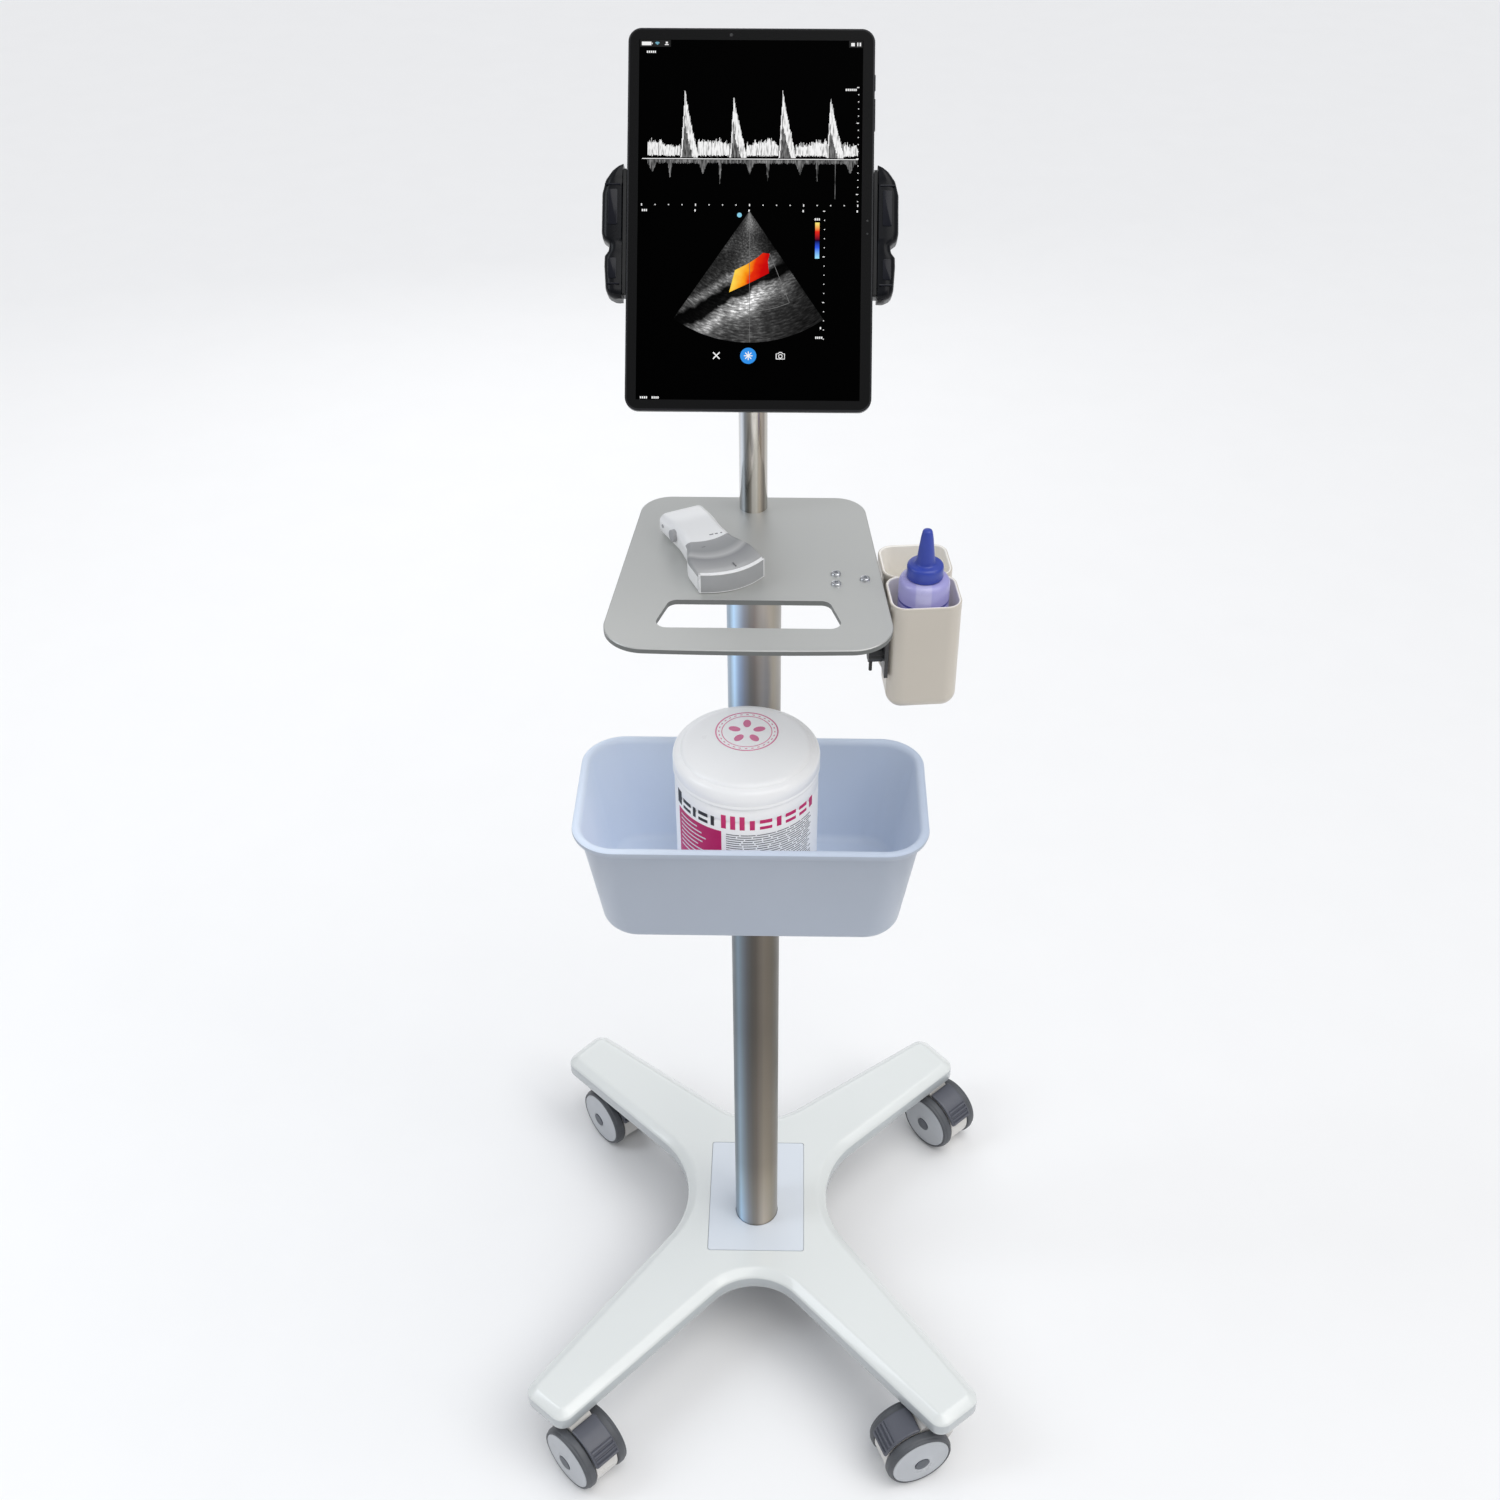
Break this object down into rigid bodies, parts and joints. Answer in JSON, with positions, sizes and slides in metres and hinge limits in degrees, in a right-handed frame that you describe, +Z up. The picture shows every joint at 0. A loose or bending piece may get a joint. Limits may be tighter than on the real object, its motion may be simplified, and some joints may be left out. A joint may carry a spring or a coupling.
{
  "type": "tablet ultrasound machine on a mobile stand",
  "caption": "Tablet ultrasound on a four-caster stand: tilting tablet holder, tray with probe, cup with gel bottle, and a storage bin with a wipes tub.",
  "frame": {"origin": "on the floor under the column's axis", "axes": "+Z up along the column, -Y towards the user, +X to the user's right"},
  "size_m": [0.4832, 0.5403, 1.3386],
  "materials": {
    "base_shell": "glossy off-white moulded shell",
    "plate_white": "satin bluish white inlay plate",
    "frame_steel": "black powder-coated steel plate",
    "zinc": "zinc-plated steel",
    "column_silver": "satin silver anodised tube",
    "tube_chrome": "polished",
    "tray_silver": "satin silver powder coat",
    "bin_blue": "light periwinkle moulded plastic",
    "cup_cream": "cream off-white moulded plastic",
    "black_metal": "black powder coat",
    "knob_black": "black moulded plastic",
    "bottle_lavender": "lavender translucent bottle",
    "cap_blue": "royal blue moulded plastic",
    "tub_white": "white moulded plastic",
    "probe_white": "white moulded plastic",
    "lens_grey": "grey acoustic lens",
    "button_grey": "grey moulded plastic",
    "tablet_black": "black anodised shell",
    "screen_glass": "black display glass",
    "battery_grey": "battery pouch",
    "jaw_black": "black moulded jaw",
    "pad_rubber": "black rubber facing",
    "caster_grey": "light grey moulded hood",
    "disc_blue": "light blue-grey wheel disc",
    "tyre_grey": "dark grey polyurethane tread",
    "pedal_grey": "dark grey ribbed pedal"
  },
  "bodies": {
    "stand": {"base_frame": "frame_steel", "base_cover": "base_shell", "base_center_plate": "plate_white", "base_cover_screws": "zinc", "column_flange": "frame_steel", "flange_bolts": "zinc", "caster_stems": "zinc", "lower_column": "column_silver", "tray_mount": "black_metal", "upper_tube": "tube_chrome", "tray": "tray_silver", "tray_screws": "zinc", "bin": "bin_blue", "bin_bracket": "black_metal", "bin_screws": "zinc", "cup_holder": "cup_cream", "cup_bracket": "black_metal", "cup_bracket_screws": "zinc"},
    "cup_knob": {"cup_knob": "knob_black"},
    "wipes_tub": {"wipes_tub": "tub_white"},
    "wipes_lid": {"wipes_tub_lid": "tub_white"},
    "gel_bottle": {"gel_bottle": "bottle_lavender"},
    "gel_cap": {"gel_bottle_cap": "cap_blue"},
    "probe": {"probe_housing": "probe_white", "probe_lens": "lens_grey"},
    "probe_button": {"probe_button": "button_grey"},
    "pole_clamp": {"pole_clamp": "black_metal", "tilt_pin": "zinc"},
    "clamp_knob": {"clamp_knob": "knob_black"},
    "tilt_block": {"tilt_block": "knob_black"},
    "holder": {"holder_back_plate": "jaw_black"},
    "jaw_left": {"jaw_left": "jaw_black", "jaw_pad_left": "pad_rubber"},
    "jaw_right": {"jaw_right": "jaw_black", "jaw_pad_right": "pad_rubber"},
    "tablet": {"tablet_housing": "tablet_black", "tablet_glass": "screen_glass", "tablet_battery": "battery_grey"},
    "power_key": {"tablet_power_key": "tablet_black"},
    "volume_key": {"tablet_volume_key": "tablet_black"},
    "caster_fr": {"caster_fr_housing": "caster_grey", "caster_fr_axle": "zinc"},
    "wheels_fr": {"caster_fr_hubs": "disc_blue", "caster_fr_tyres": "tyre_grey"},
    "pedal_fr": {"caster_fr_pedal": "pedal_grey"},
    "caster_fl": {"caster_fl_housing": "caster_grey", "caster_fl_axle": "zinc"},
    "wheels_fl": {"caster_fl_hubs": "disc_blue", "caster_fl_tyres": "tyre_grey"},
    "pedal_fl": {"caster_fl_pedal": "pedal_grey"},
    "caster_rr": {"caster_rr_housing": "caster_grey", "caster_rr_axle": "zinc"},
    "wheels_rr": {"caster_rr_hubs": "disc_blue", "caster_rr_tyres": "tyre_grey"},
    "pedal_rr": {"caster_rr_pedal": "pedal_grey"},
    "caster_rl": {"caster_rl_housing": "caster_grey", "caster_rl_axle": "zinc"},
    "wheels_rl": {"caster_rl_hubs": "disc_blue", "caster_rl_tyres": "tyre_grey"},
    "pedal_rl": {"caster_rl_pedal": "pedal_grey"}
  },
  "joints": [
    {"name": "swivel_fr", "type": "hinge", "parent": "stand", "child": "caster_fr", "pos_m": [0.19031, -0.21993, 0.06], "axis": [0, 0, 1], "continuous": true},
    {"name": "roll_fr", "type": "hinge", "parent": "caster_fr", "child": "wheels_fr", "pos_m": [0.15993, -0.23282, 0.035], "axis": [0.3907, -0.9205, 0], "continuous": true},
    {"name": "brake_fr", "type": "hinge", "parent": "caster_fr", "child": "pedal_fr", "pos_m": [0.15993, -0.23282, 0.035], "axis": [0.3907, -0.9205, 0], "range_deg": [0, 12]},
    {"name": "swivel_fl", "type": "hinge", "parent": "stand", "child": "caster_fl", "pos_m": [-0.19031, -0.21993, 0.06], "axis": [0, 0, 1], "continuous": true},
    {"name": "roll_fl", "type": "hinge", "parent": "caster_fl", "child": "wheels_fl", "pos_m": [-0.16698, -0.24326, 0.035], "axis": [0.7071, 0.7071, 0], "continuous": true},
    {"name": "brake_fl", "type": "hinge", "parent": "caster_fl", "child": "pedal_fl", "pos_m": [-0.16698, -0.24326, 0.035], "axis": [0.7071, 0.7071, 0], "range_deg": [0, 12]},
    {"name": "swivel_rr", "type": "hinge", "parent": "stand", "child": "caster_rr", "pos_m": [0.19237, 0.22058, 0.06], "axis": [0, 0, 1], "continuous": true},
    {"name": "roll_rr", "type": "hinge", "parent": "caster_rr", "child": "wheels_rr", "pos_m": [0.21488, 0.19645, 0.035], "axis": [0.7314, 0.682, 0], "continuous": true},
    {"name": "brake_rr", "type": "hinge", "parent": "caster_rr", "child": "pedal_rr", "pos_m": [0.21488, 0.19645, 0.035], "axis": [0.7314, 0.682, 0], "range_deg": [0, 12]},
    {"name": "swivel_rl", "type": "hinge", "parent": "stand", "child": "caster_rl", "pos_m": [-0.19237, 0.22058, 0.06], "axis": [0, 0, 1], "continuous": true},
    {"name": "roll_rl", "type": "hinge", "parent": "caster_rl", "child": "wheels_rl", "pos_m": [-0.17116, 0.1953, 0.035], "axis": [0.766, 0.6428, 0], "continuous": true},
    {"name": "brake_rl", "type": "hinge", "parent": "caster_rl", "child": "pedal_rl", "pos_m": [-0.17116, 0.1953, 0.035], "axis": [0.766, 0.6428, 0], "range_deg": [0, 12]},
    {"name": "holder_swivel", "type": "hinge", "parent": "stand", "child": "pole_clamp", "pos_m": [0, 0, 1.183], "axis": [0, 0, 1], "continuous": true},
    {"name": "clamp_knob_turn", "type": "hinge", "parent": "pole_clamp", "child": "clamp_knob", "pos_m": [0, 0.03, 1.183], "axis": [0, 1, 0], "range_deg": [0, 180]},
    {"name": "tablet_tilt", "type": "hinge", "parent": "pole_clamp", "child": "tilt_block", "pos_m": [0, -0.0335, 1.2131], "axis": [1, 0, 0], "range_deg": [-30, 45]},
    {"name": "tablet_rotate", "type": "hinge", "parent": "tilt_block", "child": "holder", "pos_m": [0, -0.04533, 1.22232], "axis": [0, 0.7887, -0.6148], "range_deg": [-90, 90]},
    {"name": "jaw_left_slide", "type": "slide", "parent": "holder", "child": "jaw_left", "axis": [-1, 0, 0], "range_m": [0, 0.02]},
    {"name": "jaw_right_slide", "type": "slide", "parent": "holder", "child": "jaw_right", "axis": [1, 0, 0], "range_m": [0, 0.02]},
    {"name": "tablet_lift_out", "type": "slide", "parent": "holder", "child": "tablet", "axis": [0, 0.6148, 0.7887], "range_m": [0, 0.17]},
    {"name": "power_key_press", "type": "slide", "parent": "tablet", "child": "power_key", "axis": [-1, 0, 0], "range_m": [0, 0.0004], "stiffness_N_per_m": 800},
    {"name": "volume_key_press", "type": "slide", "parent": "tablet", "child": "volume_key", "axis": [-1, 0, 0], "range_m": [0, 0.0004], "stiffness_N_per_m": 800},
    {"name": "probe_lift", "type": "slide", "parent": "stand", "child": "probe", "axis": [0, 0, 1], "range_m": [0, 0.07]},
    {"name": "probe_button_press", "type": "slide", "parent": "probe", "child": "probe_button", "axis": [0.891, 0.454, 0], "range_m": [0, 0.0005], "stiffness_N_per_m": 800},
    {"name": "cup_knob_turn", "type": "hinge", "parent": "stand", "child": "cup_knob", "pos_m": [0.10172, -0.13066, 0.934], "axis": [0.9953, 0.0965, 0], "range_deg": [0, 180]},
    {"name": "bottle_lift", "type": "slide", "parent": "stand", "child": "gel_bottle", "axis": [0, 0, 1], "range_m": [0, 0.12]},
    {"name": "bottle_cap_lift", "type": "slide", "parent": "gel_bottle", "child": "gel_cap", "axis": [0, 0, 1], "range_m": [0, 0.03]},
    {"name": "tub_lift", "type": "slide", "parent": "stand", "child": "wipes_tub", "axis": [0, 0, 1], "range_m": [0, 0.095]},
    {"name": "tub_lid_lift", "type": "slide", "parent": "wipes_tub", "child": "wipes_lid", "axis": [0, 0, 1], "range_m": [0, 0.035]}
  ],
  "couplings": [
    {"joint": "jaw_right_slide", "follows": "jaw_left_slide", "ratio": 1}
  ]
}
